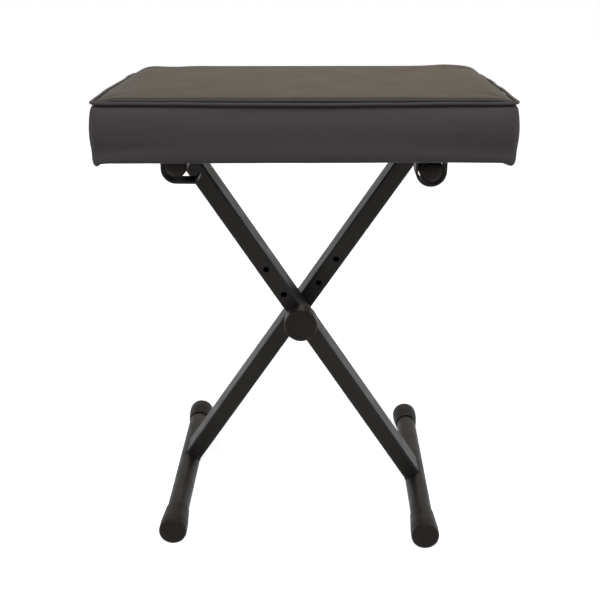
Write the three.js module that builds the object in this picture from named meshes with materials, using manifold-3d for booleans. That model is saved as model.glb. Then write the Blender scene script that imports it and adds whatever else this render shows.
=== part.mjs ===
// A folding keyboard bench: a padded seat on two crossed tube legs.
// Lengths are millimetres. +Z is up, the knob faces -Y,
// and the origin is on the floor under the middle of the seat.
import * as THREE from 'three';
import { mergeVertices } from 'three/addons/utils/BufferGeometryUtils.js';
import Module from 'manifold-3d';

const wasm = await Module();
wasm.setup();

// Clearances
const restGap = 0.3; // between pieces that touch
const cutOverrun = 5; // how far every cut runs past what it cuts

// Legs
const upperArm = 233; // pivot to the axis of the top tube
const lowerArm = 257; // pivot to the axis of the foot tube
const legWidth = 20;
const legDepth = 38;
const legCornerRadius = 3;
const legWall = 1.5;
const legPairOffset = 6.5; // how far the pair of legs stands behind the middle of the seat
const pivotX = -2.8; // the pivot lies a little left of the middle of the seat
const heightHoleCount = 3;
const heightHolePitch = 36;
const boltDiameter = 6.4;
const boltHoleClearance = 0.35;

// Cross tubes
const tubeDiameter = 25;
const tubeWall = 1.5;
const topTubeSideInset = 83; // axis of the left top tube to the side of a seat with no pivot offset
const topTubeEndInset = 29; // end of a top tube to the front or back of a seat centred on it
const rearTubeOffset = 6; // axis of the rear leg's top tube out from the middle of its leg
const footLength = 301; // over both caps
const footStagger = 3; // the left foot lies this much further back than the right one

// Foot caps
const capDiameter = 31.4;
const frontCapLength = 44;
const rearCapLength = 34;
const capCylinderLength = 16;
const capLip = 0.9;
const capEdgeRadius = 4.2; // where the end turns into the side
const capEndWall = 4;
const capFlatDepth = 1; // cut off the bottom, for the bench to stand on

// Domed plugs in the top tubes
const plugFlange = 1;
const plugDomeDiameter = 21.6;
const plugDomeHeight = 5.5;
const plugLength = 12;
const plugWall = 2;

// Seat
const seatWidth = 424;
const seatDepth = 250;
const seatForward = 5; // middle of the seat in front of the middle of the top tubes
const seatCornerRadius = 16;
const seatPanelHeight = 55; // hem to the middle of the piping, halfway back
const coverThickness = 1.2;
const crownRise = 1.2; // of the middle of the top over its shoulder
const shoulderRise = 3;
const shoulderWidth = 13;
const sideBulge = 2.4; // of the side panel, out from the seam
const bottomInset = 4; // of the side panel's lower edge, in from its bulge
const sideDraw = 2.2; // how far the seam pulls in between the corners
const seamSag = 3.2; // how far the seam hangs between the front corners
const seamFall = 5; // how much lower the seam lies at the back than at the front
const hemWidth = 18;
const hemCorner = 3;
const pipingDiameter = 5;
const pipingSeatGap = 0.5; // piping to the groove in the seam
const boardThickness = 12;
const boardInset = 6.6;
const liningThickness = 0.8;
const liningGap = 1.5; // lining to the inner edge of the hem

// Strap brackets and their screws
const strapThickness = 2.5;
const strapWidth = 25;
const strapBend = 2; // inner radius where a flange turns
const strapEndInset = 1.5; // strap to the end of the top tube
const saddleClearance = 1.1;
const saddleDrop = 2.2; // inside of the saddle under its tube
const saddleFlange = 16;
const hookClearance = 0.4;
const hookDrop = 4.4; // inside of the hook under its tube
const hookFlange = 36;
const hookReach = 22.8; // tube axis to the free end of the hook
const hookTipBend = 1;
const hookTipClearance = 0.9; // free end of the hook under the sliding tube
const screwDiameter = 3.6;
const screwLength = 12;
const screwHeadDiameter = 7.6;
const screwHeadHeight = 2.4;
const screwTipLength = 3;
const screwSlotWidth = 1.1;
const screwSlotLength = 4.4;
const screwSlotDepth = 1.3;
const screwClearance = 0.35;
const hookScrewShares = [0.25, 0.75]; // along the flange of the hook
const headCrownShares = [0.62, 0.9]; // of the head's radius and height
const headEdgeShare = 0.4; // of the head's height

// Knob, bolt and washers
const knobDiameter = 38;
const knobLength = 21.4;
const knobEdgeWidth = 4.6;
const knobEdgeDepth = 3.4;
const knobBackBevel = 0.8;
const insertAcrossFlats = 11;
const insertLength = 12;
const boltEndGap = 3;
const boltHeadAcrossFlats = 11;
const boltHeadHeight = 4.4;
const boltEndBevel = 0.9;
const knobWasherDiameter = 22;
const knobWasherThickness = 1.5;
const boltWasherDiameter = 18;
const boltWasherThickness = 1.6;
const spacerDiameter = 18;
const spacerThickness = 1.9;

// Facets
const roundFacets = 32;
const smallFacets = 18;
const cornerFacets = 4;
const domeFacets = 4;
const edgeFacets = 4;
const bendFacets = 4;
const sweepFacets = 8;
const seatCornerSteps = 3;
const seatLongSteps = 6;
const seatShortSteps = 4;
const pipingFacets = 8;

// Worked-out sizes
const tubeRadius = tubeDiameter / 2;
const topTubeLength = seatDepth - 2 * topTubeEndInset;
const topX = seatWidth / 2 - topTubeSideInset;
const spread = Math.asin(topX / upperArm); // of each leg from upright
const footAxisHeight = capDiameter / 2 - capFlatDepth;
const footX = lowerArm * Math.sin(spread);
const pivotHeight = footAxisHeight + lowerArm * Math.cos(spread);
const topAxisHeight = pivotHeight + upperArm * Math.cos(spread);
const saddleAxisHeight = topAxisHeight - rearTubeOffset * Math.sin(spread);
const legGap = spacerThickness + 2 * restGap;
const frontLegY = legPairOffset - (legGap + legDepth) / 2;
const rearLegY = legPairOffset + (legGap + legDepth) / 2;
const frontFaceY = frontLegY - legDepth / 2;
const rearFaceY = rearLegY + legDepth / 2;
const boltHoleRadius = boltDiameter / 2 + boltHoleClearance;
const liningBottom = topAxisHeight + tubeRadius + restGap;
const boardBottom = liningBottom + liningThickness + restGap;
const hemTop = boardBottom - restGap;
const hemBottom = hemTop - coverThickness;
const pipingRadius = pipingDiameter / 2;
const pipingHeight = hemBottom + seatPanelHeight;
const flangeTop = liningBottom - restGap;
const strapY = topTubeLength / 2 - strapEndInset - strapWidth / 2;
const screwRadius = screwDiameter / 2;
const screwBearing = flangeTop - strapThickness - restGap;

// Screws: from the axis of the tube that each bracket holds, and then on the seat
const hookX = pivotX - topX;
const saddleX = pivotX + topX + rearTubeOffset * Math.cos(spread);
const saddleFlangeStart = tubeRadius + saddleClearance + strapThickness + strapBend;
const hookFlangeStart = tubeRadius + hookClearance + strapThickness + strapBend;
const saddleScrews = [-1, 1].map((side) => side * (saddleFlangeStart + saddleFlange / 2));
const hookScrews = hookScrewShares.map((share) => -(hookFlangeStart + hookFlange * share));
const screwPlaces = [-1, 1].flatMap((away, row) => [
  ...hookScrews.map((x, place) => ({
    name: `hook_screw_${row * hookScrews.length + place + 1}`,
    x: x + hookX,
    y: away * strapY,
  })),
  ...saddleScrews.map((x, place) => ({
    name: `saddle_screw_${row * saddleScrews.length + place + 1}`,
    x: x + saddleX,
    y: away * strapY,
  })),
]);

// Colours, with how rough and how metallic each finish is
function finish(color, roughness, metalness) {
  return new THREE.MeshStandardMaterial({ color, roughness, metalness });
}
const finishes = {
  vinyl: finish(0x4a4648, 0.55, 0),
  piping: finish(0x3c393b, 0.5, 0),
  foam: finish(0xd9d2b4, 0.95, 0),
  plywood: finish(0xb48a58, 0.8, 0),
  lining: finish(0x222222, 0.95, 0),
  paint: finish(0x262627, 0.45, 0.3),
  zinc: finish(0xb4b6b8, 0.35, 0.9),
  plastic: finish(0x1f1e1d, 0.55, 0),
  nylon: finish(0x2a2a29, 0.6, 0),
  brass: finish(0xb08d46, 0.4, 0.9),
};

// Joining and cutting
function toSolid(geometry) {
  const bare = geometry.index ? geometry.toNonIndexed() : geometry.clone();
  bare.deleteAttribute('normal');
  bare.deleteAttribute('uv');
  const merged = mergeVertices(bare);
  return new wasm.Manifold(new wasm.Mesh({
    numProp: 3,
    vertProperties: new Float32Array(merged.attributes.position.array),
    triVerts: new Uint32Array(merged.index.array),
  }));
}

function toGeometry(solid) {
  const mesh = solid.getMesh();
  const geometry = new THREE.BufferGeometry();
  geometry.setAttribute('position', new THREE.BufferAttribute(mesh.vertProperties, 3));
  geometry.setIndex(new THREE.BufferAttribute(mesh.triVerts, 1));
  geometry.computeVertexNormals();
  return geometry;
}

function cut(geometry, cutters) {
  let solid = toSolid(geometry);
  for (const cutter of cutters) {
    solid = solid.subtract(toSolid(cutter));
  }
  return toGeometry(solid);
}

// Plain shapes
function roundedRectangle(width, depth, radius) {
  const halfWidth = width / 2;
  const halfDepth = depth / 2;
  const shape = new THREE.Shape();
  shape.moveTo(halfWidth, radius - halfDepth);
  shape.lineTo(halfWidth, halfDepth - radius);
  shape.absarc(halfWidth - radius, halfDepth - radius, radius, 0, Math.PI / 2);
  shape.lineTo(radius - halfWidth, halfDepth);
  shape.absarc(radius - halfWidth, halfDepth - radius, radius, Math.PI / 2, Math.PI);
  shape.lineTo(-halfWidth, radius - halfDepth);
  shape.absarc(radius - halfWidth, radius - halfDepth, radius, Math.PI, Math.PI * 3 / 2);
  shape.lineTo(halfWidth - radius, -halfDepth);
  shape.absarc(halfWidth - radius, radius - halfDepth, radius, -Math.PI / 2, 0);
  return shape;
}

function circle(x, y, radius) {
  const path = new THREE.Path();
  path.absarc(x, y, radius, 0, Math.PI * 2);
  return path;
}

// An arc is drawn with two facets for each of its segments
function extrude(shape, depth, arcFacets) {
  return new THREE.ExtrudeGeometry(shape, { depth, bevelEnabled: false, curveSegments: arcFacets / 2 });
}

// A cylinder along Y through (x, z)
function rodAlongY(radius, length, x, z, facets) {
  const rod = new THREE.CylinderGeometry(radius, radius, length, facets);
  return rod.translate(x, 0, z);
}

function rodAlongZ(radius, length, facets) {
  return new THREE.CylinderGeometry(radius, radius, length, facets).rotateX(Math.PI / 2);
}

// A solid turned about the Y axis from [radius, y] points
function turned(profile, facets) {
  const points = profile.map(([radius, y]) => new THREE.Vector2(radius, y));
  return new THREE.LatheGeometry(points, facets);
}

// Points round the edge of an end face at y = end, from the face to the side
function roundedEdge(radius, end, width, depth) {
  const points = [];
  for (let step = 0; step <= edgeFacets; step += 1) {
    const angle = (step / edgeFacets) * Math.PI / 2;
    points.push([radius - width * (1 - Math.sin(angle)), end + depth * (1 - Math.cos(angle))]);
  }
  return points;
}

// A flat washer about the Y axis, with its middle at y = 0
function washer(outerDiameter, innerRadius, thickness) {
  const outer = outerDiameter / 2;
  const half = thickness / 2;
  return turned([
    [innerRadius, -half],
    [outer, -half],
    [outer, half],
    [innerRadius, half],
    [innerRadius, -half],
  ], smallFacets);
}

function hexagonPrism(acrossFlats, length) {
  const cornerRadius = acrossFlats / Math.sqrt(3);
  return new THREE.CylinderGeometry(cornerRadius, cornerRadius, length, 6);
}

// Legs: each tube stands upright with the pivot at its origin before it is leant over
function legTube(tubeOffset) {
  const shape = roundedRectangle(legWidth, legDepth, legCornerRadius);
  const bore = roundedRectangle(legWidth - 2 * legWall, legDepth - 2 * legWall, legCornerRadius - legWall);
  shape.holes.push(bore);
  const tube = extrude(shape, upperArm + lowerArm, cornerFacets);
  tube.translate(0, 0, -lowerArm);
  const cutters = [];
  for (const [offset, height] of [[tubeOffset, upperArm], [0, -lowerArm]]) {
    cutters.push(rodAlongY(tubeRadius + restGap, legDepth + cutOverrun, offset, height, roundFacets));
  }
  for (let hole = 0; hole < heightHoleCount; hole += 1) {
    cutters.push(rodAlongY(boltHoleRadius, legDepth + cutOverrun, 0, hole * heightHolePitch, smallFacets));
  }
  return cut(tube, cutters);
}

function crossTube(length) {
  const shape = new THREE.Shape();
  shape.absarc(0, 0, tubeRadius, 0, Math.PI * 2);
  shape.holes.push(circle(0, 0, tubeRadius - tubeWall));
  const tube = extrude(shape, length, roundFacets);
  tube.translate(0, 0, -length / 2);
  return tube.rotateX(Math.PI / 2);
}

// The foot tube ends inside the caps
const footTubeLength = footLength - 2 * (capEndWall + restGap);

// A foot cap with its face at y = 0 and its mouth behind it
function footCap(length) {
  const outer = capDiameter / 2;
  const bore = tubeRadius + restGap;
  const cap = turned([
    [0, 0],
    ...roundedEdge(outer, 0, capEdgeRadius, capEdgeRadius),
    [outer, capCylinderLength],
    [bore + capLip, length],
    [bore, length],
    [bore, capEndWall],
    [0, capEndWall],
  ], roundFacets);
  const flat = new THREE.BoxGeometry(capDiameter, length + cutOverrun, capFlatDepth * 2);
  flat.translate(0, length / 2, -outer);
  return cut(cap, [flat]);
}

// A domed plug with its flange against the end of the tube at y = 0
function topPlug() {
  const dome = plugDomeDiameter / 2;
  const plugOuter = tubeRadius - tubeWall - restGap;
  const flangeFront = -restGap - plugFlange;
  const profile = [];
  for (let step = 0; step <= domeFacets; step += 1) {
    const angle = (step / domeFacets) * Math.PI / 2;
    profile.push([dome * Math.sin(angle), flangeFront - plugDomeHeight * Math.cos(angle)]);
  }
  profile.push(
    [tubeRadius, flangeFront],
    [tubeRadius, -restGap],
    [plugOuter, -restGap],
    [plugOuter, plugLength],
    [plugOuter - plugWall, plugLength],
    [plugOuter - plugWall, 0],
    [0, 0],
  );
  return turned(profile, smallFacets);
}

// Seat: loops of points round the seat, each inset from its outline and at its own height
function seatLoop({ inset, height, draw, sag, fall }) {
  const halfWidth = seatWidth / 2 - inset;
  const halfDepth = seatDepth / 2 - inset;
  const radius = seatCornerRadius * (halfDepth / (seatDepth / 2));
  const outline = [];
  const straightX = halfWidth - radius;
  const straightY = halfDepth - radius;
  const corners = [[1, 1], [-1, 1], [-1, -1], [1, -1]];
  corners.forEach(([sideX, sideY], corner) => {
    for (let step = 0; step <= seatCornerSteps; step += 1) {
      const angle = (corner + step / seatCornerSteps) * Math.PI / 2;
      outline.push([
        sideX * straightX + radius * Math.cos(angle),
        sideY * straightY + radius * Math.sin(angle),
      ]);
    }
    const alongX = corner % 2 === 0;
    const steps = alongX ? seatLongSteps : seatShortSteps;
    for (let step = 1; step < steps; step += 1) {
      const share = 1 - 2 * step / steps;
      outline.push(alongX
        ? [sideX * straightX * share, sideY * halfDepth]
        : [sideX * halfWidth, sideY * straightY * share]);
    }
  });
  return outline.map(([x, y]) => {
    const acrossX = 1 - (x / halfWidth) ** 2;
    const acrossY = 1 - (y / halfDepth) ** 2;
    return new THREE.Vector3(
      x * (1 - draw * acrossY / halfWidth),
      y * (1 - draw * acrossX / halfDepth),
      height - sag * acrossX - fall * y / seatDepth,
    );
  });
}

// Joins loops into one skin, which closes on its ends or runs round into itself
function skin(loops, ring) {
  const count = loops[0].length;
  const points = loops.flat();
  const faces = [];
  const joins = ring ? loops.length : loops.length - 1;
  for (let row = 0; row < joins; row += 1) {
    const next = (row + 1) % loops.length;
    for (let place = 0; place < count; place += 1) {
      const beside = (place + 1) % count;
      const a = row * count + place;
      const b = row * count + beside;
      const c = next * count + place;
      const d = next * count + beside;
      faces.push(a, c, b, b, c, d);
    }
  }
  if (!ring) {
    const last = (loops.length - 1) * count;
    const first = points.length;
    points.push(middle(loops[0]), middle(loops[loops.length - 1]));
    for (let place = 0; place < count; place += 1) {
      const beside = (place + 1) % count;
      faces.push(first, place, beside);
      faces.push(first + 1, last + beside, last + place);
    }
  }
  const geometry = new THREE.BufferGeometry();
  geometry.setAttribute('position', new THREE.Float32BufferAttribute(points.flatMap((p) => p.toArray()), 3));
  geometry.setIndex(faces);
  geometry.computeVertexNormals();
  return geometry;
}

function middle(loop) {
  const centre = new THREE.Vector3();
  for (const point of loop) {
    centre.add(point);
  }
  return centre.divideScalar(loop.length);
}

// The outer face of the cover, from the middle of its top down to the inner edge of its hem
const topSpanShares = [0.78, 0.5, 0.24]; // of the way from shoulder to middle
const shoulderShares = [1, 0.5, 0.16]; // of the shoulder's width
// Of the panel's height, its bulge and its bottom inset
const panelShares = [[0.84, 0.45, 0], [0.5, 0, 0], [0.18, 0, 0.5]];
const grooveAngles = [135, 180, 225];

function coverProfile() {
  const groove = pipingRadius + pipingSeatGap;
  const grooveTop = groove * Math.SQRT1_2;
  const startInset = pipingRadius + grooveTop;
  const startHeight = pipingHeight + grooveTop;
  const shoulderEnd = startInset + shoulderWidth;
  const span = seatDepth / 2 - shoulderEnd;
  const profile = [];
  for (const share of topSpanShares) {
    const rise = crownRise * (1 - (1 - share) ** 2);
    profile.push({
      inset: shoulderEnd + span * share,
      height: startHeight + shoulderRise + rise,
      draw: 0,
      sag: seamSag * (1 - share) / 2,
      fall: seamFall,
    });
  }
  for (const share of shoulderShares) {
    profile.push({
      inset: startInset + shoulderWidth * share,
      height: startHeight + shoulderRise * (1 - (1 - share) ** 2),
      draw: sideDraw,
      sag: seamSag * (1 - share / 2),
      fall: seamFall,
    });
  }
  for (const angle of grooveAngles) {
    const turn = THREE.MathUtils.degToRad(angle);
    profile.push({
      inset: pipingRadius - groove * Math.cos(turn),
      height: pipingHeight + groove * Math.sin(turn),
      draw: sideDraw,
      sag: seamSag,
      fall: seamFall,
    });
  }
  const panelTop = pipingHeight - groove;
  const panelBottom = hemBottom + hemCorner;
  profile.push({ inset: pipingRadius, height: panelTop, draw: sideDraw, sag: seamSag, fall: seamFall });
  for (const [heightShare, bulgeShare, bottomShare] of panelShares) {
    profile.push({
      inset: sideBulge * bulgeShare + bottomInset * bottomShare,
      height: panelBottom + (panelTop - panelBottom) * heightShare,
      draw: sideDraw * heightShare,
      sag: seamSag * heightShare ** 2,
      fall: seamFall * heightShare,
    });
  }
  const cornerCut = hemCorner * (1 - Math.SQRT1_2);
  const still = { draw: 0, sag: 0, fall: 0 };
  profile.push({ inset: bottomInset, height: panelBottom, ...still });
  profile.push({ inset: bottomInset + cornerCut, height: hemBottom + cornerCut, ...still });
  profile.push({ inset: bottomInset + hemCorner, height: hemBottom, ...still });
  profile.push({ inset: hemWidth, height: hemBottom, ...still });
  return profile;
}

// The same profile, moved inwards by a distance
function inwards(profile, distance) {
  return profile.map((point, place) => {
    const before = profile[Math.max(place - 1, 0)];
    const after = profile[Math.min(place + 1, profile.length - 1)];
    const into = new THREE.Vector2(point.inset - before.inset, point.height - before.height);
    const out = new THREE.Vector2(after.inset - point.inset, after.height - point.height);
    const along = into.normalize().add(out.normalize()).normalize();
    return {
      ...point,
      inset: point.inset - along.y * distance,
      height: point.height + along.x * distance,
    };
  });
}

function seatCover() {
  const outer = coverProfile();
  const inner = inwards(outer, coverThickness).reverse();
  return skin([...outer, ...inner].map(seatLoop), false);
}

function seatPiping() {
  const loops = [];
  for (let step = 0; step < pipingFacets; step += 1) {
    const angle = (step / pipingFacets) * Math.PI * 2;
    loops.push(seatLoop({
      inset: pipingRadius + pipingRadius * Math.cos(angle),
      height: pipingHeight + pipingRadius * Math.sin(angle),
      draw: sideDraw,
      sag: seamSag,
      fall: seamFall,
    }));
  }
  return skin(loops, true);
}

function seatFoam() {
  const bottom = boardBottom + boardThickness + restGap;
  const profile = inwards(coverProfile(), coverThickness + restGap).filter(({ height }) => height > bottom);
  profile.push({ inset: boardInset, height: bottom, draw: 0, sag: 0, fall: 0 });
  return skin(profile.map(seatLoop), false);
}

// A flat sheet or board in the seat's outline, with screw holes from below
function seatSlab(inset, bottom, thickness, holeDepth) {
  const top = bottom + thickness;
  const loops = [top, bottom].map((height) => seatLoop({ inset, height, draw: 0, sag: 0, fall: 0 }));
  const slab = skin(loops, false);
  const holes = screwPlaces.map(({ x, y }) => {
    const hole = rodAlongZ(screwRadius + screwClearance, holeDepth + cutOverrun, smallFacets / 2);
    return hole.translate(x, y + seatForward, bottom + (holeDepth - cutOverrun) / 2);
  });
  return cut(slab, holes);
}

// Strap brackets, bent from flat bar, with the axis of their tube as their origin
const halfStrap = strapThickness / 2;
const flangeBend = strapBend + halfStrap;
const hookFlangeMiddle = flangeTop - halfStrap - topAxisHeight;
const saddleFlangeMiddle = flangeTop - halfStrap - saddleAxisHeight;
const saddleLine = tubeRadius + saddleClearance + halfStrap;
const hookLine = tubeRadius + hookClearance + halfStrap;
const saddleLow = -(tubeRadius + saddleDrop + halfStrap);
const hookLow = -(tubeRadius + hookDrop + halfStrap);

// The strap's thickness laid to both sides of a smooth line of straight runs and arcs
function strap(line) {
  const left = [];
  const right = [];
  line.curves.forEach((curve, place) => {
    const steps = curve.isLineCurve ? 1 : Math.max(bendFacets, Math.round(arcShare(curve) * sweepFacets));
    for (let step = place === 0 ? 0 : 1; step <= steps; step += 1) {
      const point = curve.getPoint(step / steps);
      const tangent = curve.getTangent(step / steps);
      left.push(new THREE.Vector2(point.x - tangent.y * halfStrap, point.y + tangent.x * halfStrap));
      right.push(new THREE.Vector2(point.x + tangent.y * halfStrap, point.y - tangent.x * halfStrap));
    }
  });
  const shape = new THREE.Shape([...left, ...right.reverse()]);
  return extrude(shape, strapWidth, 2).rotateX(Math.PI / 2).translate(0, strapWidth / 2, 0);
}

// How many quarter turns an arc makes
function arcShare(curve) {
  return Math.abs(curve.aEndAngle - curve.aStartAngle) / (Math.PI / 2);
}

function saddleStrap() {
  const bendX = saddleLine + flangeBend;
  const bendHeight = saddleFlangeMiddle - flangeBend;
  const line = new THREE.Path();
  line.moveTo(-bendX - saddleFlange, saddleFlangeMiddle);
  line.lineTo(-bendX, saddleFlangeMiddle);
  line.absarc(-bendX, bendHeight, flangeBend, Math.PI / 2, 0, true);
  line.absarc(0, saddleLow + saddleLine, saddleLine, Math.PI, Math.PI * 2);
  line.absarc(bendX, bendHeight, flangeBend, Math.PI, Math.PI / 2, true);
  line.lineTo(bendX + saddleFlange, saddleFlangeMiddle);
  return drilled(strap(line), saddleScrews, saddleFlangeMiddle);
}

function hookStrap() {
  const bendX = hookLine + flangeBend;
  const tipBend = hookTipBend + halfStrap;
  const line = new THREE.Path();
  line.moveTo(-bendX - hookFlange, hookFlangeMiddle);
  line.lineTo(-bendX, hookFlangeMiddle);
  line.absarc(-bendX, hookFlangeMiddle - flangeBend, flangeBend, Math.PI / 2, 0, true);
  line.absarc(0, hookLow + hookLine, hookLine, Math.PI, Math.PI * 3 / 2);
  line.absarc(hookReach - halfStrap - tipBend, hookLow + tipBend, tipBend, -Math.PI / 2, 0);
  line.lineTo(hookReach - halfStrap, -tubeRadius - hookTipClearance);
  return drilled(strap(line), hookScrews, hookFlangeMiddle);
}

function drilled(bracket, screws, height) {
  return cut(bracket, screws.map((x) => {
    const hole = rodAlongZ(screwRadius + screwClearance, strapThickness + cutOverrun, smallFacets / 2);
    return hole.translate(x, 0, height);
  }));
}

// A pan-head screw standing on its head, with the underside of the head at z = 0
function woodScrew() {
  const head = screwHeadDiameter / 2;
  const screw = turned([
    [0, -screwHeadHeight],
    [head * headCrownShares[0], -screwHeadHeight * headCrownShares[1]],
    [head, -screwHeadHeight * headEdgeShare],
    [head, 0],
    [screwRadius, 0],
    [screwRadius, screwLength - screwTipLength],
    [0, screwLength],
  ], smallFacets / 2).rotateX(Math.PI / 2);
  const slots = [0, Math.PI / 2].map((angle) => {
    const slot = new THREE.BoxGeometry(screwSlotLength, screwSlotWidth, screwSlotDepth * 2);
    return slot.rotateZ(angle).translate(0, 0, -screwHeadHeight);
  });
  return cut(screw, slots);
}

// Knob, insert and bolt, with the back of the knob at y = 0
const boltRadius = boltDiameter / 2;
const knobBackY = frontFaceY - knobWasherThickness - 2 * restGap;
const boltBearingY = rearFaceY + boltWasherThickness + 2 * restGap;
const boltEndDepth = insertLength + boltEndGap;

function knobBody() {
  const outer = knobDiameter / 2;
  const body = turned([
    [0, -knobLength],
    ...roundedEdge(outer, -knobLength, knobEdgeWidth, knobEdgeDepth),
    [outer, -knobBackBevel],
    [outer - knobBackBevel, 0],
    [0, 0],
  ], roundFacets);
  const pocketDepth = insertLength + restGap;
  const pocket = hexagonPrism(insertAcrossFlats + 2 * restGap, pocketDepth + cutOverrun);
  pocket.translate(0, (cutOverrun - pocketDepth) / 2, 0);
  const boreDepth = boltEndDepth + restGap;
  const bore = rodAlongY(boltHoleRadius, boreDepth + cutOverrun, 0, 0, smallFacets);
  bore.translate(0, (cutOverrun - boreDepth) / 2, 0);
  return cut(body, [pocket, bore]);
}

function threadedInsert() {
  const prism = hexagonPrism(insertAcrossFlats, insertLength - restGap);
  const bore = rodAlongY(boltHoleRadius, insertLength + cutOverrun, 0, 0, smallFacets);
  return cut(prism, [bore]).translate(0, -(insertLength + restGap) / 2, 0);
}

function pivotBolt() {
  const end = knobBackY - boltEndDepth;
  const head = hexagonPrism(boltHeadAcrossFlats, boltHeadHeight);
  head.translate(0, boltBearingY + boltHeadHeight / 2, 0);
  const shank = turned([
    [0, end],
    [boltRadius - boltEndBevel, end],
    [boltRadius, end + boltEndBevel],
    [boltRadius, boltBearingY + boltHeadHeight / 2],
    [0, boltBearingY + boltHeadHeight / 2],
  ], smallFacets);
  return toGeometry(toSolid(head).add(toSolid(shank)));
}

// The bench
const bench = new THREE.Group();

function place(parent, name, geometry, material, x = 0, y = 0, z = 0, turn = 0) {
  const mesh = new THREE.Mesh(geometry, material);
  mesh.name = name;
  mesh.position.set(x, y, z);
  mesh.rotation.z = turn;
  parent.add(mesh);
  return mesh;
}

function addLeg(name, side, legY, tubeOffset) {
  const footY = side * footStagger / 2;
  const leg = new THREE.Group();
  leg.position.set(pivotX, legY, pivotHeight);
  leg.rotation.y = side * spread;
  bench.add(leg);
  place(leg, `${name}_tube`, legTube(tubeOffset), finishes.paint);
  place(leg, `${name}_top_tube`, crossTube(topTubeLength), finishes.paint, tubeOffset, -legY, upperArm);
  place(leg, `${name}_foot_tube`, crossTube(footTubeLength), finishes.paint, 0, footY - legY, -lowerArm);
  for (const [end, away, capLength] of [['front', -1, frontCapLength], ['rear', 1, rearCapLength]]) {
    const turn = away < 0 ? 0 : Math.PI;
    const plugX = tubeOffset ? saddleX : hookX;
    const plugHeight = tubeOffset ? saddleAxisHeight : topAxisHeight;
    const plugY = away * topTubeLength / 2;
    const capX = pivotX - side * footX;
    const capY = footY + away * footLength / 2;
    place(bench, `${name}_top_plug_${end}`, topPlug(), finishes.plastic, plugX, plugY, plugHeight, turn);
    const cap = footCap(capLength);
    place(bench, `${name}_foot_cap_${end}`, cap, finishes.plastic, capX, capY, footAxisHeight, turn);
  }
}

addLeg('rear_leg', 1, rearLegY, rearTubeOffset);
addLeg('front_leg', -1, frontLegY, 0);

place(bench, 'seat_cover', seatCover(), finishes.vinyl, 0, -seatForward);
place(bench, 'seat_piping', seatPiping(), finishes.piping, 0, -seatForward);
place(bench, 'seat_foam', seatFoam(), finishes.foam, 0, -seatForward);
const screwDepth = screwBearing + screwLength + restGap - boardBottom;
const seatBoard = seatSlab(boardInset, boardBottom, boardThickness, screwDepth);
place(bench, 'seat_board', seatBoard, finishes.plywood, 0, -seatForward);
const seatLining = seatSlab(hemWidth + liningGap, liningBottom, liningThickness, liningThickness);
place(bench, 'seat_lining', seatLining, finishes.lining, 0, -seatForward);

for (const [end, away] of [['front', -1], ['rear', 1]]) {
  place(bench, `${end}_hook`, hookStrap(), finishes.paint, hookX, away * strapY, topAxisHeight);
  place(bench, `${end}_saddle`, saddleStrap(), finishes.paint, saddleX, away * strapY, saddleAxisHeight);
}
for (const { name, x, y } of screwPlaces) {
  place(bench, name, woodScrew(), finishes.zinc, x, y, screwBearing);
}

place(bench, 'pivot_bolt', pivotBolt(), finishes.zinc, pivotX, 0, pivotHeight);
const boltWasher = washer(boltWasherDiameter, boltHoleRadius, boltWasherThickness);
place(bench, 'bolt_washer', boltWasher, finishes.zinc, pivotX, (rearFaceY + boltBearingY) / 2, pivotHeight);
const legSpacer = washer(spacerDiameter, boltHoleRadius, spacerThickness);
place(bench, 'leg_spacer', legSpacer, finishes.nylon, pivotX, legPairOffset, pivotHeight);
const knobWasher = washer(knobWasherDiameter, boltHoleRadius, knobWasherThickness);
place(bench, 'knob_washer', knobWasher, finishes.zinc, pivotX, (frontFaceY + knobBackY) / 2, pivotHeight);
place(bench, 'clamp_knob', knobBody(), finishes.plastic, pivotX, knobBackY, pivotHeight);
place(bench, 'knob_insert', threadedInsert(), finishes.brass, pivotX, knobBackY, pivotHeight);

export default bench;
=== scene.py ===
import math

import bpy
import numpy as np
from bpy.props import FloatProperty, FloatVectorProperty, IntProperty, PointerProperty
from bpy.types import Operator, Panel, PropertyGroup
from mathutils import Matrix, Vector, noise


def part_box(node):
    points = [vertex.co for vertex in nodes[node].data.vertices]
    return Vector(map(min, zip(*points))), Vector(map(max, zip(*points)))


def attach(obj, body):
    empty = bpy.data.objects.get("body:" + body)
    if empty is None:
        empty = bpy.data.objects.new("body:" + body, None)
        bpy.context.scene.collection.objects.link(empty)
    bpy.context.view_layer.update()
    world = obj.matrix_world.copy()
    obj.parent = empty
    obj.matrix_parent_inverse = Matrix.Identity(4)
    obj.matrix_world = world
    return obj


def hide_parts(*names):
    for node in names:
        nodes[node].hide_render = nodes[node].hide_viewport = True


bl_info = {
    "name": "Folding bench dresser",
    "version": (1, 0, 0),
    "blender": (4, 5, 0),
    "location": "3D View > Sidebar > Bench",
    "description": "Dresses the packed frame of a folding bench with its cushion, finishes and studio",
    "category": "Object",
}

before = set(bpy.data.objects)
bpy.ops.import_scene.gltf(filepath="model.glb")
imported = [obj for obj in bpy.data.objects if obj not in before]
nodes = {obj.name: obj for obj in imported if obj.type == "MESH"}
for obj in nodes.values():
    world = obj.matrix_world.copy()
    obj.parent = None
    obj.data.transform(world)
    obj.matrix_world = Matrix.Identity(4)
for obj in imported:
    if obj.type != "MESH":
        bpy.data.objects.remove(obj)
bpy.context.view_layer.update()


# Shader graphs


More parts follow.
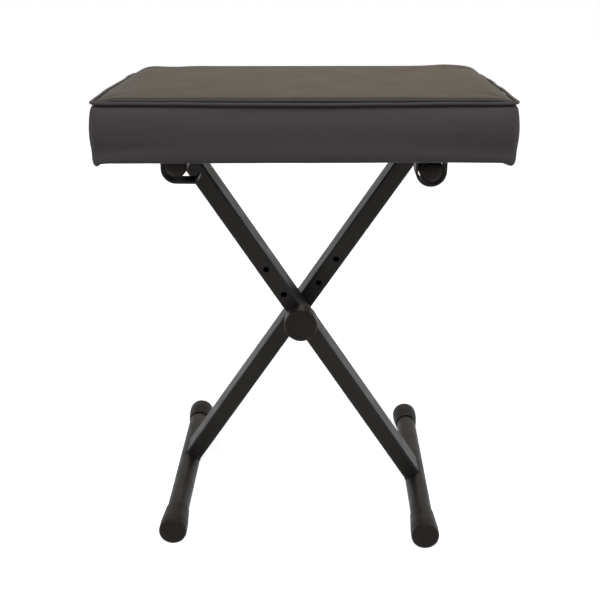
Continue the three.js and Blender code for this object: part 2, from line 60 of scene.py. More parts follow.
class Graph:
    """A material or a world that is built node by node."""

    def __init__(self, name, world=False):
        self.owner = bpy.data.worlds.new(name) if world else bpy.data.materials.new(name)
        self.owner.use_nodes = True
        self.tree = self.owner.node_tree
        self.tree.nodes.clear()
        self.place = self.node("ShaderNodeTexCoord")["Object"]

    def node(self, kind, inputs=None, **settings):
        """Adds a node, links or sets its inputs, and gives its outputs."""
        made = self.tree.nodes.new(kind)
        for key, value in settings.items():
            setattr(made, key, value)
        for key, value in (inputs or {}).items():
            if isinstance(value, bpy.types.NodeSocket):
                self.tree.links.new(value, made.inputs[key])
            else:
                made.inputs[key].default_value = value
        return made.outputs

    def stretched(self, scale):
        return self.node("ShaderNodeMapping", {"Vector": self.place, "Scale": scale})["Vector"]

    def noise(self, scale, detail=2.0, roughness=0.5, vector=None, distortion=0.0):
        inputs = {"Vector": vector or self.place, "Scale": scale, "Detail": detail}
        inputs.update({"Roughness": roughness, "Distortion": distortion})
        return self.node("ShaderNodeTexNoise", inputs)["Fac"]

    def cells(self, scale, feature="SMOOTH_F1"):
        inputs = {"Vector": self.place, "Scale": scale}
        return self.node("ShaderNodeTexVoronoi", inputs, feature=feature)["Distance"]

    def maths(self, operation, first, second):
        return self.node("ShaderNodeMath", {0: first, 1: second}, operation=operation)["Value"]

    def mixed(self, factor, first, second):
        """A colour between two, by a factor."""
        inputs = {"Factor": factor, "A": first, "B": second}
        return self.node("ShaderNodeMix", inputs, data_type="RGBA")[2]

    def rays(self, first, *others):
        """1 for rays of these kinds, and 0 for all others."""
        path = self.node("ShaderNodeLightPath")
        value = path[first]
        for kind in others:
            value = self.maths("MAXIMUM", value, path[kind])
        return value

    def spread(self, value, low, high, start=0.3, end=0.7):
        """Maps a texture's usual range onto low to high."""
        return self.node("ShaderNodeMapRange", {
            "Value": value, "From Min": start, "From Max": end, "To Min": low, "To Max": high})["Result"]

    def tone(self, fac, dark, light):
        """A colour between two, by a texture."""
        color = self.node("ShaderNodeValToRGB", {"Fac": fac})["Color"]
        first, last = color.node.color_ramp.elements
        first.position, last.position = 0.3, 0.7
        first.color, last.color = (*dark, 1), (*light, 1)
        return color

    def bump(self, height, distance, strength, normal=None):
        inputs = {"Height": height, "Distance": distance, "Strength": strength}
        if normal:
            inputs["Normal"] = normal
        return self.node("ShaderNodeBump", inputs)["Normal"]

    def principled(self, color, roughness, normal, others):
        inputs = {"Base Color": color, "Roughness": roughness, "Normal": normal, **(others or {})}
        return self.node("ShaderNodeBsdfPrincipled", inputs)["BSDF"]

    def finish(self, color, roughness, normal, others=None):
        """Ends a material with a Principled shader."""
        shader = self.principled(color, roughness, normal, others)
        self.node("ShaderNodeOutputMaterial", {"Surface": shader})
        return self.owner


def scaled(color, share):
    return tuple(channel * share for channel in color)


def vinyl(name, color, painted_light_top_color, grain, roughness):
    """Upholstery vinyl: a fine pebbled grain and a soft, uneven gloss, with painted warm light where it
    faces up.
    """
    g = Graph(name)
    normal = g.node("ShaderNodeTexCoord")["Normal"]
    # Painted light: faces that point up get the warmer top colour, standing in for the warm light from
    # above and behind, not a colour of the vinyl itself.
    painted_top_light_mask = g.spread(g.node("ShaderNodeSeparateXYZ", {"Vector": normal})["Z"], 0, 1, 0.55, 0.95)
    patches = g.noise(9, 4, 0.6)
    side = g.tone(patches, scaled(color, 0.95), scaled(color, 1.04))
    top = g.tone(patches, scaled(painted_light_top_color, 0.95), scaled(painted_light_top_color, 1.04))
    pebbles = g.bump(g.cells(1 / grain), 0.00011, 0.55)
    fine = g.bump(g.noise(3.2 / grain, 3), 0.00005, 0.5, pebbles)
    waves = g.bump(g.noise(30, 2, 0.4), 0.0003, 0.25, fine)
    gloss = g.spread(g.noise(26, 4), roughness - 0.03, roughness + 0.03)
    shine = {"Specular IOR Level": 0.14, "Specular Tint": (1.0, 0.9, 0.78, 1)}
    return g.finish(g.mixed(painted_top_light_mask, side, top), gloss, waves, shine)


def powder_coat(name, color, roughness):
    """Baked paint on steel: a slight orange peel and a few duller places."""
    g = Graph(name)
    peel = g.bump(g.noise(1500, 2, 0.55), 0.00006, 0.45)
    shade = g.tone(g.noise(30, 5, 0.65), scaled(color, 0.82), scaled(color, 1.15))
    gloss = g.spread(g.noise(55, 5, 0.6), roughness - 0.06, roughness + 0.08)
    return g.finish(shade, gloss, peel, {"Specular IOR Level": 0.2, "Specular Tint": (1.0, 0.92, 0.86, 1)})


def moulded(name, color, roughness, texture):
    """Moulded plastic with a spark-eroded texture."""
    g = Graph(name)
    pits = g.bump(g.noise(1 / texture, 3, 0.6), 0.00005, 0.6)
    scuffs = g.bump(g.noise(180, 3, 0.5, g.stretched((1, 0.2, 1))), 0.00006, 0.25, pits)
    shade = g.tone(g.noise(60, 4, 0.6), scaled(color, 0.85), scaled(color, 1.15))
    gloss = g.spread(g.noise(90, 4), roughness - 0.05, roughness + 0.08)
    shine = {"Specular IOR Level": 0.13, "Specular Tint": (1.0, 0.9, 0.84, 1)}
    return g.finish(shade, gloss, scuffs, shine)


def plated(name, dark, light, roughness):
    """Plated or turned metal with fine drawn lines."""
    g = Graph(name)
    lines = g.bump(g.noise(900, 2, 0.5, g.stretched((1, 0.06, 1))), 0.00003, 0.4)
    gloss = g.spread(g.noise(260, 3), roughness - 0.07, roughness + 0.1)
    return g.finish(g.tone(g.noise(120, 4, 0.6), dark, light), gloss, lines, {"Metallic": 1.0})


def plywood(name):
    """Birch plywood: long grain on its faces, and its plies on its edges."""
    g = Graph(name)
    grain = g.noise(60, 5, 0.6, g.stretched((0.08, 1, 1)), 0.6)
    height = g.node("ShaderNodeSeparateXYZ", {"Vector": g.place})["Z"]
    plies = g.spread(g.maths("PINGPONG", height, 0.0034), 0.25, 0.75, 0.0013, 0.0021)
    half = g.maths("MULTIPLY", g.maths("ADD", grain, plies), 0.5)
    shade = g.tone(half, (0.30, 0.18, 0.085), (0.58, 0.41, 0.22))
    return g.finish(shade, g.spread(grain, 0.62, 0.8), g.bump(grain, 0.0003, 0.5))


def foam(name):
    """Open-cell foam."""
    g = Graph(name)
    shade = g.tone(g.noise(20, 4), (0.66, 0.58, 0.36), (0.74, 0.67, 0.45))
    return g.finish(shade, g.spread(g.noise(200, 2), 0.88, 0.98), g.bump(g.cells(1100, "F1"), 0.0004, 0.8))


def nonwoven(name):
    """Thin black non-woven cloth, with fibres laid both ways and a pressed dot pattern."""
    g = Graph(name)
    fibres = g.bump(g.noise(1400, 4, 0.7, g.stretched((0.15, 1, 1))), 0.00012, 0.6)
    crossed = g.bump(g.noise(1400, 4, 0.7, g.stretched((1, 0.15, 1))), 0.00012, 0.6, fibres)
    dots = g.bump(g.cells(420, "F1"), 0.0001, 0.4, crossed)
    shade = g.tone(g.noise(300, 5, 0.7), (0.010, 0.010, 0.011), (0.026, 0.026, 0.027))
    return g.finish(shade, g.spread(g.noise(70, 3), 0.82, 0.95), dots, {"Sheen Weight": 0.15})


def nylon(name):
    """Black nylon."""
    g = Graph(name)
    shade = g.tone(g.noise(80, 3), (0.016, 0.016, 0.015), (0.024, 0.024, 0.023))
    return g.finish(shade, g.spread(g.noise(150, 3), 0.42, 0.55), g.bump(g.noise(900, 2), 0.00003, 0.5))


# Meshes


def add_mesh(name, points, faces, material):
    mesh = bpy.data.meshes.new(name)
    mesh.from_pydata([tuple(map(float, p)) for p in points], [], faces)
    mesh.update()
    mesh.polygons.foreach_set("use_smooth", [True] * len(mesh.polygons))
    mesh.materials.append(material)
    made = bpy.data.objects.new(name, mesh)
    bpy.context.scene.collection.objects.link(made)
    return made


def applied(made):
    """Replaces the mesh by what its modifiers make of it, and removes them."""
    depsgraph = bpy.context.evaluated_depsgraph_get()
    result = bpy.data.meshes.new_from_object(made.evaluated_get(depsgraph), depsgraph=depsgraph)
    result.name = made.data.name
    made.modifiers.clear()
    made.vertex_groups.clear()
    made.data = result
    return made


def coordinates(mesh):
    flat = np.zeros(len(mesh.vertices) * 3)
    mesh.vertices.foreach_get("co", flat)
    return flat.reshape(-1, 3)


def set_coordinates(mesh, points):
    mesh.vertices.foreach_set("co", np.asarray(points, float).ravel())
    mesh.update()


def tube(path, radii, sides, up, closed=True):
    """Points and faces of a tube along a path. radii holds one radius, or one for each point."""
    path = np.asarray(path, float)
    count = len(path)
    radii = np.broadcast_to(radii, (count,))
    if closed:
        along = np.roll(path, -1, 0) - np.roll(path, 1, 0)
    else:
        along = np.gradient(path, axis=0)
    along /= np.linalg.norm(along, axis=1, keepdims=True)
    across = np.cross(np.broadcast_to(up, along.shape), along)
    across /= np.linalg.norm(across, axis=1, keepdims=True)
    above = np.cross(along, across)
    turn = np.arange(sides) / sides * 2 * math.pi
    ring = across[:, None] * np.cos(turn)[None, :, None] + above[:, None] * np.sin(turn)[None, :, None]
    points = (path[:, None] + ring * radii[:, None, None]).reshape(-1, 3)
    faces = []
    for row in range(count if closed else count - 1):
        here, beyond = row * sides, (row + 1) % count * sides
        for side in range(sides):
            beside = (side + 1) % sides
            faces.append((here + beside, beyond + beside, beyond + side, here + side))
    if not closed:
        faces.append(tuple(range(sides)))
        faces.append(tuple(reversed(range((count - 1) * sides, count * sides))))
    return points, faces


def joined(parts):
    """Several (points, faces) as one."""
    points, faces, start = [], [], 0
    for some_points, some_faces in parts:
        points.extend(some_points)
        faces.extend(tuple(index + start for index in face) for face in some_faces)
        start += len(some_points)
    return points, faces


# Seat


# Waves of the side seams: side, place along it, reach and height in metres
SEAM_WAVES = [
    (-1, 0.085, 0.016, 0.0010), (-1, -0.040, 0.050, 0.0010),
    (1, 0.052, 0.020, 0.0010), (1, -0.030, 0.045, 0.0017), (1, 0.088, 0.016, 0.0008),
]
# Where the side seams stand out: side, place along it, reach and distance in metres
SEAM_FLARES = [(-1, -0.020, 0.050, 0.0006), (1, 0.030, 0.022, 0.0013)]
SEAM_END_LIFT = 0.0009  # how much the seam's fall differs at the two ends
TOP_BUMP = (0.163, 0.020, 0.100, 0.030, 0.0013)  # x and its reach, y and its reach, height
CROWN_START, CROWN_REACH = 0.100, 0.217  # where the top starts to fall forward, and over which length
LOWER_EDGE_RISE = 0.0016  # most that the lower edge rises at the right


def hump(value, place, reach):
    """1 at the place, falling off smoothly with its distance."""
    return np.exp(-(((value - place) / reach) ** 2))


class SeatShape:
    """The seat's outline and seam, worked out from the frame's boxes."""

    def __init__(self, settings):
        low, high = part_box("seat_cover")
        self.settings = settings
        self.half_x = max(high.x, -low.x)
        self.half_y = (high.y - low.y) / 2
        self.middle_y = (high.y + low.y) / 2
        self.bottom = low.z
        self.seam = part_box("seat_piping")[1].z - settings.seam_set
        self.u = self.spaced(self.half_x)
        self.v = self.spaced(self.half_y)

    def spaced(self, half):
        """Places along a side, closer together round the corners."""
        radius = self.settings.corner_radius
        inner = half - radius
        count = max(2, round(2 * inner / self.settings.mesh_step))
        corner = inner + radius * np.linspace(0, 1, 5)[1:]
        return np.concatenate([-corner[::-1], np.linspace(-inner, inner, count + 1), corner])

    def across(self, value, half, inset):
        """(place, how far into the corner) of a value along a side, on an outline moved in by inset."""
        radius = self.settings.corner_radius
        inner = half - radius
        new_radius = max(radius - inset, 0.003)
        new_inner = half - inset - new_radius
        into = np.clip((np.abs(value) - inner) / radius, 0, 1)
        flat = np.clip(value, -inner, inner) * new_inner / inner
        return flat, np.sign(value) * into * new_radius, into

    def spot(self, u, v, inset):
        """Rounds a square grid's place into the seat's outline, drawn in between its corners."""
        x, corner_x, into_x = self.across(u, self.half_x, inset)
        y, corner_y, into_y = self.across(v, self.half_y, inset)
        x = x + corner_x * np.sqrt(1 - into_y**2 / 2)
        y = y + corner_y * np.sqrt(1 - into_x**2 / 2)
        return x, y

    def drawn(self, x, y, draw):
        away_x = 1 - (x / self.half_x) ** 2
        away_y = 1 - (y / self.half_y) ** 2
        return x * (1 - draw * away_y / self.half_x), y * (1 - draw * away_x / self.half_y)

    def edge(self):
        """(u, v) of the grid's edge, once round from its front left corner."""
        last_u, last_v = len(self.u) - 1, len(self.v) - 1
        spots = [(i, 0) for i in range(last_u)] + [(last_u, j) for j in range(last_v)]
        spots += [(i, last_v) for i in range(last_u, 0, -1)] + [(0, j) for j in range(last_v, 0, -1)]
        return spots

    def seam_height(self, x, y):
        """How high the seam runs: it falls to the back, sags between the corners and waves a little."""
        s = self.settings
        across = x / self.half_x
        back = np.clip(0.5 + y / (2 * self.half_y), 0, 1)
        sag = s.seam_sag * np.clip(1 - across**2, 0, 1) ** 3 * (1 - 0.4 * back)
        fall = (s.seam_fall + SEAM_END_LIFT * across) * back ** (1.45 - 0.15 * across)
        at_side = np.clip((np.abs(across) - 0.93) / 0.05, 0, 1)
        waves = sum(
            height * hump(y, place, reach) * (side * x > 0)
            for side, place, reach, height in SEAM_WAVES
        )
        return self.seam + s.tilt * across - sag - fall + waves * at_side

    def top_height(self, x, y):
        """How high the puffed top lies inside its rolled edge."""
        s = self.settings
        ahead = np.clip((CROWN_START - y) / CROWN_REACH, 0, 1.2)
        bump_x, reach_x, bump_y, reach_y, height = TOP_BUMP
        bump = height * hump(x, bump_x, reach_x) * hump(y, bump_y, reach_y)
        return self.seam + s.crown - s.crown_fall * ahead**2 + s.tilt * x / self.half_x + bump

    def bottom_height(self, x):
        """How high the lower edge of the side panels lies."""
        s = self.settings
        return self.bottom - s.bottom_drop + min(s.bottom_tilt * x / self.half_x, LOWER_EDGE_RISE)

    def flare(self, x, y):
        """How far the seam stands out at the sides, where the piping pulls away from the top."""
        at_side = np.clip((np.abs(x) / self.half_x - 0.9) / 0.08, 0, 1)
        out = sum(
            distance * hump(y, place, reach) * (side * x > 0)
            for side, place, reach, distance in SEAM_FLARES
        )
        return np.sign(x) * at_side * out


# The side panel, from the seam down: share of its height, and inset in metres
PANEL = [
    (0.038, 0.0052), (0.058, 0.0038), (0.09, 0.0026), (0.16, 0.0017), (0.26, 0.0010), (0.38, 0.0004),
    (0.50, 0.0001), (0.62, 0.0003), (0.72, 0.0006), (0.80, 0.0009), (0.87, 0.0010), (0.93, 0.0012),
    (0.968, 0.0018), (0.992, 0.0032), (1.0, 0.0052),
]
HEM = [0.0105, 0.014, 0.018]  # insets of the hem's rows under the board
SEAM_ROW = 0.004  # share of the panel's height down to its first row, in the seam
SEAM_GAP = 0.0006  # cord to the cover beside it
SEAM_STEP = 0.0004  # top panel to the seam, across and up
ROUND_LEFT, ROUND_RIGHT, ROUND_BACK = 2.2, 3.2, 2.5  # how full the top's rolled edges are
FLARE_WIDTH = 0.010  # how far the flare of the seam reaches into the top
TUCK_START = 0.55  # share of the panel's height from which it is tucked in
CORNER_REACH = 0.0075  # half width of a folded corner
HEM_TURN = 0.006  # inset, and width, of the turn from the panel into the hem
FOLD_START, FOLD_WIDTH = 0.009, 0.008  # where the folded corner's drop ends under the hem


def top_points(shape, offset, seam_inset):
    """The top panel's points. Its front edge is steep and hangs over, the others are rolled."""
    s = shape.settings
    points = []
    for v in shape.v:
        for u in shape.u:
            x, y = shape.spot(u, v, seam_inset - SEAM_STEP + offset)
            gap_x = max(shape.half_x - seam_inset - offset - abs(x), 0)
            gap_y = max(shape.half_y - seam_inset - offset - abs(y), 0)
            x, y = shape.drawn(x, y, s.seam_draw)
            seam = shape.seam_height(x, y) + SEAM_STEP
            inward = min(gap_x / s.shoulder_width, 1)
            side = 1 - (1 - inward) ** (ROUND_RIGHT if x > 0 else ROUND_LEFT)
            if y < 0:
                end = math.sqrt(1 - (1 - min(gap_y / s.front_shoulder, 1)) ** 2)
                if not offset:
                    rightward = 0.5 + 0.5 * min(max(x / shape.half_x + 1, 0), 1)
                    y -= s.front_bulge * rightward * math.sin(math.pi * end) * inward
            else:
                end = 1 - (1 - min(gap_y / s.shoulder_width, 1)) ** ROUND_BACK
            level = seam + (shape.top_height(x, y) - seam) * side * end
            x += shape.flare(x, y) * max(1 - gap_x / FLARE_WIDTH, 0)
            points.append((x, y, level - offset))
    return points


def panel_point(shape, u, v, share, inset, from_corner, offset):
    """A point of the side panels or the hem, at that share of the panel's height."""
    s = shape.settings
    x, y = shape.spot(u, v, inset + offset)
    out_x = (x / shape.half_x) ** 2
    on_panel = share < 1
    belly = s.belly * (0.3 + 1.2 * out_x) * math.sin(math.pi * share) if on_panel else 0
    x, y = shape.drawn(x, y, s.seam_draw * (1 - share) - belly)
    out_x = (x / shape.half_x) ** 2
    puff = s.end_puff * out_x * math.sin(math.pi * share**0.85) if on_panel else 0
    tuck = s.tuck * max(share - TUCK_START, 0) / (1 - TUCK_START)
    y += math.copysign(puff - tuck, y) * min(abs(y) / shape.half_y, 1) ** 8
    seam = shape.seam_height(x, y)
    under = 0 if on_panel else np.clip((inset - HEM_TURN) / HEM_TURN, 0, 1)
    bottom = shape.bottom_height(x) * (1 - under) + shape.bottom * under
    drop = s.corner_drop * hump(from_corner, 0, CORNER_REACH) * np.clip((share - 0.86) / 0.1, 0, 1)
    if inset > FOLD_START:
        drop *= max(1 - (inset - FOLD_START) / FOLD_WIDTH, 0)
    x += shape.flare(x, y) * max(1 - share * 8, 0)
    return x, y, seam + (bottom - seam) * share - drop


def seat_skin(shape, offset=0.0, floor=None):
    """(points, faces, rings of points from the seam down, corner places in a ring) of the cover,
    moved in by offset. With a floor it stops at that height, and its last ring lies there."""
    s = shape.settings
    seam_inset = 2 * s.piping_radius + s.piping_inset + SEAM_GAP
    last_u, last_v = len(shape.u) - 1, len(shape.v) - 1
    points = top_points(shape, offset, seam_inset)
    grid = {(i, j): j * (last_u + 1) + i for j in range(last_v + 1) for i in range(last_u + 1)}
    faces = [
        (grid[i, j], grid[i + 1, j], grid[i + 1, j + 1], grid[i, j + 1])
        for j in range(last_v) for i in range(last_u)
    ]
    edge = shape.edge()
    count = len(edge)
    rings = [[grid[spot] for spot in edge]]
    corners = [place for place, (i, j) in enumerate(edge) if i in (0, last_u) and j in (0, last_v)]
    lengths = corner_distances(shape, edge)
    rows = [(SEAM_ROW, seam_inset + SEAM_GAP)] + PANEL + [(1.0, inset) for inset in HEM]
    for share, inset in rows:
        ring = []
        for (i, j), from_corner in zip(edge, lengths):
            x, y, height = panel_point(shape, shape.u[i], shape.v[j], share, inset, from_corner, offset)
            ring.append(len(points))
            points.append((x, y, height if floor is None else max(height, floor)))
        rings.append(ring)
        if floor is not None and max(points[index][2] for index in ring) <= floor + 1e-6:
            break
    for upper, lower in zip(rings, rings[1:]):
        for place in range(count):
            beside = (place + 1) % count
            faces.append((upper[place], lower[place], lower[beside], upper[beside]))
    points = [(x, y + shape.middle_y, z) for x, y, z in points]
    return points, faces, rings, corners


def corner_distances(shape, edge):
    """How far each place on the edge is from its nearest corner, along the edge."""
    result = []
    for i, j in edge:
        x, y = shape.half_x - abs(shape.u[i]), shape.half_y - abs(shape.v[j])
        result.append(abs(x - y) if min(x, y) < 1e-6 else 0)
    return result


CLOTH_FRAMES = 20  # length of the simulation


def inflate(made, pinned, settings):
    """Blows a mesh up a little with cloth and pressure, and keeps the result."""
    scene = bpy.context.scene
    before = coordinates(made.data)
    made.vertex_groups.new(name="pinned").add(pinned, 1, "REPLACE")
    cloth = made.modifiers.new("Cloth", "CLOTH")
    cloth.settings.quality = 6
    cloth.settings.mass = 0.2
    cloth.settings.tension_stiffness = 12
    cloth.settings.compression_stiffness = 12
    cloth.settings.shear_stiffness = 6
    cloth.settings.bending_stiffness = 1.2
    cloth.settings.vertex_group_mass = "pinned"
    cloth.settings.use_pressure = True
    cloth.settings.uniform_pressure_force = settings.pressure
    cloth.settings.effector_weights.gravity = 0
    cloth.collision_settings.use_collision = False
    cloth.point_cache.frame_start = 1
    cloth.point_cache.frame_end = CLOTH_FRAMES
    for step in range(1, CLOTH_FRAMES + 1):
        scene.frame_set(step)
    applied(made)
    scene.frame_set(1)
    moved = coordinates(made.data) - before
    length = np.linalg.norm(moved, axis=1, keepdims=True)
    moved *= np.minimum(1, settings.swell / np.maximum(length, 1e-9))
    set_coordinates(made.data, before + moved)


def crease(made, pairs, value):
    """Sets the crease of the edges between those vertices."""
    wanted = {tuple(sorted(pair)) for pair in pairs}
    attributes = made.data.attributes
    attribute = attributes.get("crease_edge") or attributes.new("crease_edge", "FLOAT", "EDGE")
    for edge in made.data.edges:
        if tuple(sorted(edge.vertices)) in wanted:
            attribute.data[edge.index].value = value


# Soft creases of the front panel: height, middle and half length across, depth, all in metres
CREASES = [
    (0.4712, -0.160, 0.030, 0.00080), (0.4640, -0.152, 0.036, 0.00095), (0.4572, -0.158, 0.026, 0.00070),
    (0.4480, -0.170, 0.024, 0.00055), (0.4705, 0.162, 0.022, 0.00060), (0.4610, 0.150, 0.030, 0.00050),
    (0.4790, -0.060, 0.060, 0.00030), (0.4530, 0.060, 0.070, 0.00030),
]
CREASE_WIDTH = 0.0036
PUCKER_REACH = 0.009  # how far the puckers reach from the seam


def hand_fitted(made, shape):
    """Puckers along the seam, soft creases on the panels and a slight unevenness."""
    points = coordinates(made.data)
    normals = np.array([v.normal for v in made.data.vertices])
    seam = shape.seam_height(points[:, 0], points[:, 1] - shape.middle_y)
    depth = shape.settings.wrinkle_depth
    moved = points.copy()
    for index, (x, y, z) in enumerate(points):
        broad = noise.noise(Vector((x, y, z * 1.6)) * 22) * 0.55
        broad += noise.noise(Vector((x, y, z)) * 55 + Vector((3, 1, 7))) * 0.25
        on_side = 1 - abs(normals[index][2])
        near_seam = hump(z, seam[index], PUCKER_REACH) * on_side
        pucker = noise.noise(Vector((x * 95, y * 95, z * 14))) * near_seam * 0.9
        change = -(broad * (0.35 + 0.65 * on_side) + pucker) * depth
        if y < 0 and on_side > 0.5:
            for height, middle, half, dent in CREASES:
                line = height + 0.035 * (x - middle) + 0.0012 * math.sin(x * 160 + height * 900)
                along = hump(x, middle, half)
                across = (z - line) / CREASE_WIDTH
                change -= dent * along * (hump(across, 0, 1) - 0.45 * hump(across, 1.7, 1))
        moved[index] += normals[index] * change
    set_coordinates(made.data, moved)


HEM_ROWS = 5  # last rows, without an upright seam at the corners
FOAM_INSET = 0.0022  # from the cover's outside to the foam
FOAM_GAP = 0.0003  # from the board to the foam


def cushion_objects(settings, vinyl_cover, foam_material):
    """The cover, its filling and the seat's shape."""
    shape = SeatShape(settings)
    points, faces, rings, corners = seat_skin(shape)
    closed = faces + [tuple(reversed(rings[-1]))]
    made = add_mesh("cushion_cover", points, closed, vinyl_cover)
    pinned = {index for ring in [*rings[1:3], *rings[-HEM_ROWS - 1:]] for index in ring}
    pinned |= {ring[place] for ring in rings[1:] for place in corners}
    inflate(made, sorted(pinned), settings)
    swollen = coordinates(made.data)
    bpy.data.objects.remove(made)
    made = add_mesh("cushion_cover", swollen, faces, vinyl_cover)
    ring = rings[1]
    crease(made, zip(ring, ring[1:] + ring[:1]), 1.0)
    rows = range(1, len(rings) - HEM_ROWS)
    crease(made, [(rings[row][place], rings[row + 1][place]) for row in rows for place in corners], 0.75)
    grooved = coordinates(made.data)
    for row in rows[1:]:
        for place in corners:
            index = rings[row][place]
            x, y, _ = grooved[index]
            outward = Vector((math.copysign(1, x), math.copysign(1, y), 0)).normalized()
            grooved[index] -= np.array(outward) * settings.corner_seam_depth
    set_coordinates(made.data, grooved)
    made.modifiers.new("Subdivision", "SUBSURF").levels = 1
    applied(made)
    hand_fitted(made, shape)
    solid = made.modifiers.new("Solidify", "SOLIDIFY")
    solid.thickness = settings.cover_thickness
    solid.offset = -1
    applied(made)

    board_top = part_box("seat_board")[1].z
    points, faces, rings, _ = seat_skin(shape, FOAM_INSET, board_top + FOAM_GAP)
    filling = add_mesh("cushion_filling", points, faces + [tuple(reversed(rings[-1]))], foam_material)
    return made, filling, shape


# How far the piping wanders at the sides, at the front and back, and up, in metres
WANDER_SIDE, WANDER_FRONT, WANDER_UP = 0.00035, 0.0003, 0.00035


def piping_object(shape, material):
    """The cord in its strip of vinyl, along the seam."""
    s = shape.settings
    path = []
    edge = shape.edge()
    for place in range(len(edge)):
        (i, j), (k, m) = edge[place], edge[(place + 1) % len(edge)]
        for share in (0, 0.5):
            u = shape.u[i] + (shape.u[k] - shape.u[i]) * share
            v = shape.v[j] + (shape.v[m] - shape.v[j]) * share
            x, y = shape.spot(u, v, s.piping_radius + s.piping_inset)
            x, y = shape.drawn(x, y, s.seam_draw)
            height = shape.seam_height(x, y)
            from_corner = abs((shape.half_x - abs(u)) - (shape.half_y - abs(v)))
            pull = s.corner_pull * hump(from_corner, 0, 0.009)
            shift = noise.noise(Vector((x * 30, y * 30, 0.3)))
            rise = noise.noise(Vector((x * 26, y * 26, 5.1)))
            x += shape.flare(x, y) + math.copysign(WANDER_SIDE, x) * shift * (abs(x) > 0.19)
            y -= math.copysign(WANDER_FRONT, y) * shift * (abs(y) > 0.11)
            x -= math.copysign(pull, x)
            y += shape.middle_y - math.copysign(pull, y)
            path.append((x, y, height + WANDER_UP * rise))
    radii = [s.piping_radius * (1 + 0.05 * noise.noise(Vector((x * 140, y * 140, 2)))) for x, y, _ in path]
    points, faces = tube(path, radii, 12, (0, 0, 1))
    return add_mesh("cushion_piping", points, faces, material)


LINING_RIPPLE = 0.00012
LINING_FRAY = 0.0006  # unevenness of the cut edge
LINING_THICKNESS = 0.0003


def lining_object(material):
    """The cloth under the board, pulled tight between its staples."""
    low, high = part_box("seat_lining")
    columns = np.linspace(low.x, high.x, 61)
    lines = np.linspace(low.y, high.y, 35)
    points = []
    for y in lines:
        for x in columns:
            edge = min(x - low.x, high.x - x, y - low.y, high.y - y)
            ripple = noise.noise(Vector((x * 60, y * 60, 1))) * LINING_RIPPLE * min(edge / 0.02, 1)
            wobble = noise.noise(Vector((x * 50, y * 50, 8))) * LINING_FRAY if edge < 1e-6 else 0
            inward = Vector((-x, -y, 0)).normalized() * abs(wobble)
            points.append((x + inward.x, y + inward.y, low.z + LINING_THICKNESS + ripple))
    wide = len(columns)
    faces = [
        (j * wide + i, j * wide + i + 1, (j + 1) * wide + i + 1, (j + 1) * wide + i)
        for j in range(len(lines) - 1) for i in range(wide - 1)
    ]
    made = add_mesh("underside_lining", points, faces, material)
    solid = made.modifiers.new("Solidify", "SOLIDIFY")
    solid.thickness = LINING_THICKNESS
    solid.offset = 0
    return applied(made), (high.x - low.x, high.y - low.y)


# One half of a staple, from its middle out: along and up, in metres
STAPLE = [(0, -0.00055), (0.003, -0.0005), (0.0044, -0.00035), (0.0048, 0.0001), (0.0048, 0.0009)]
STAPLE_WIRE = 0.00045  # radius
STAPLE_GAP = 0.0055  # from the lining's edge out to the staples
STAPLE_END = 0.006  # from the lining's corner to the first staple


def staple(x, y, z, angle):
    """One wire staple, pressed into the hem."""
    turn = Matrix.Rotation(angle, 3, "Z")
    line = [(-along, rise) for along, rise in reversed(STAPLE[1:])] + STAPLE
    path = [np.array(turn @ Vector((along, 0, rise))) + (x, y, z) for along, rise in line]
    across = np.array(turn @ Vector((0, 1, 0)))
    return tube(path, STAPLE_WIRE, 6, across, closed=False)


def staples_object(shape, material):
    """A row of staples along each side of the lining."""
    low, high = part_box("seat_lining")
    parts = []
    for away in (-1, 1):
        y = shape.middle_y + away * ((high.y - low.y) / 2 + STAPLE_GAP)
        for x in np.linspace(low.x + STAPLE_END, high.x - STAPLE_END, 15):
            lean = noise.noise(Vector((x * 90, away, 0))) * 0.5
            parts.append(staple(x, y + lean * 0.002, shape.bottom, lean))
        x = away * (high.x + STAPLE_GAP)
        for y in np.linspace(low.y + STAPLE_END, high.y - STAPLE_END, 8):
            lean = noise.noise(Vector((y * 90, away, 4))) * 0.5
            parts.append(staple(x + lean * 0.002, y, shape.bottom, math.pi / 2 + lean))
    return add_mesh("hem_staples", *joined(parts), material)


# Frame


LEG_ROUNDING = 0.003  # radius of the leg's long edges
BEAD_STEP = 0.0011  # from one point of a bead to the next
BEAD_RISE = 0.0004  # from the cross tube to a bead's middle


def weld_bead(centre, axis, offset, half_depth, tube_radius, settings):
    """The bead where a flat-sided leg meets a round cross tube. centre lies on the middle line of
    the leg, axis points from there along the leg, and offset leads from there to the tube's axis."""
    along_y = Vector((0, 1, 0))
    across = along_y.cross(axis)
    aside = offset.dot(across)
    flat_x, flat_y = settings.leg_half_width - LEG_ROUNDING, half_depth - LEG_ROUNDING
    spots = []
    for turn, (sign_x, sign_y) in enumerate([(1, 1), (-1, 1), (-1, -1), (1, -1)]):
        for step in range(5):
            bend = (turn + step / 4) * math.pi / 2
            x = sign_x * flat_x + LEG_ROUNDING * math.cos(bend)
            spots.append((x, sign_y * flat_y + LEG_ROUNDING * math.sin(bend)))
    spots.append(spots[0])
    reach = tube_radius * 0.98
    path = []
    for (x, y), (next_x, next_y) in zip(spots, spots[1:]):
        parts = max(1, round(math.hypot(next_x - x, next_y - y) / BEAD_STEP))
        for part in range(parts):
            px = min(max(x + (next_x - x) * part / parts, aside - reach), aside + reach)
            py = y + (next_y - y) * part / parts
            rise = math.sqrt(tube_radius**2 - (px - aside) ** 2)
            path.append(centre + across * px + along_y * py + axis * (rise + BEAD_RISE))
    radii = []
    for place in range(len(path)):
        ripple = 0.5 + 0.5 * math.cos(place * 1.15 + 0.6 * noise.noise(path[place] * 200))
        radii.append(settings.weld_radius * (0.82 + 0.3 * ripple))
    return tube(path, radii, 8, axis)


def box_middle(name):
    """The middle and the half size of a piece's box."""
    low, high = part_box(name)
    return (low + high) / 2, (high - low) / 2


